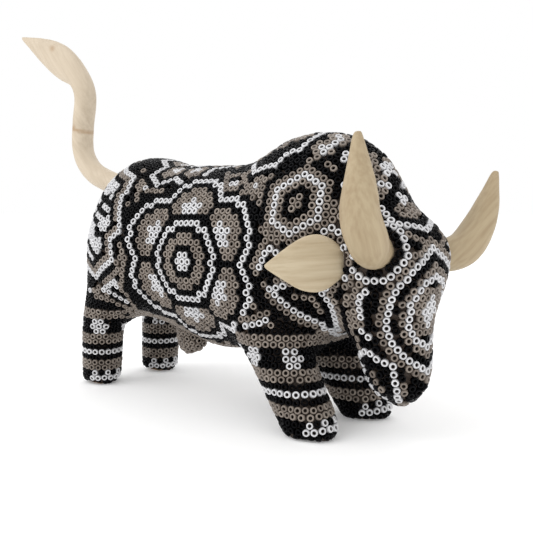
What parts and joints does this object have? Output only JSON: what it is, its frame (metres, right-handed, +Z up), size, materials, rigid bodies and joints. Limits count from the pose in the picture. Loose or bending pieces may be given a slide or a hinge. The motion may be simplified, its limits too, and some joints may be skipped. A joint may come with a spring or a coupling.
{
  "type": "beaded animal figure",
  "caption": "Standing bull carved from wood, covered with glass seed beads set in wax, with bare wood horns, ears and a curved tail.",
  "frame": {"origin": "middle of the whole figure's box, on the ground under it", "axes": "+X towards the head, +Y towards the bull's left, +Z up"},
  "size_m": [0.1895, 0.069, 0.1279],
  "materials": {
    "core_wood": "carved, unfinished",
    "pale_wood": "carved and sanded, bare",
    "dowel_wood": "turned dowel",
    "wax": "beeswax and resin, soft sheen",
    "beads_black": "opaque gloss glass",
    "beads_white": "opaque pearl glass",
    "beads_taupe": "opaque gloss glass"
  },
  "bodies": {
    "root": {"wood_core": "core_wood", "wax_coat": "wax", "bead_coat": "beads_black", "horn_right": "pale_wood", "horn_left": "pale_wood", "horn_peg_right": "dowel_wood", "horn_peg_left": "dowel_wood", "ear_right": "pale_wood", "ear_left": "pale_wood", "ear_peg_right": "dowel_wood", "ear_peg_left": "dowel_wood", "tail": "pale_wood"}
  },
  "joints": []
}
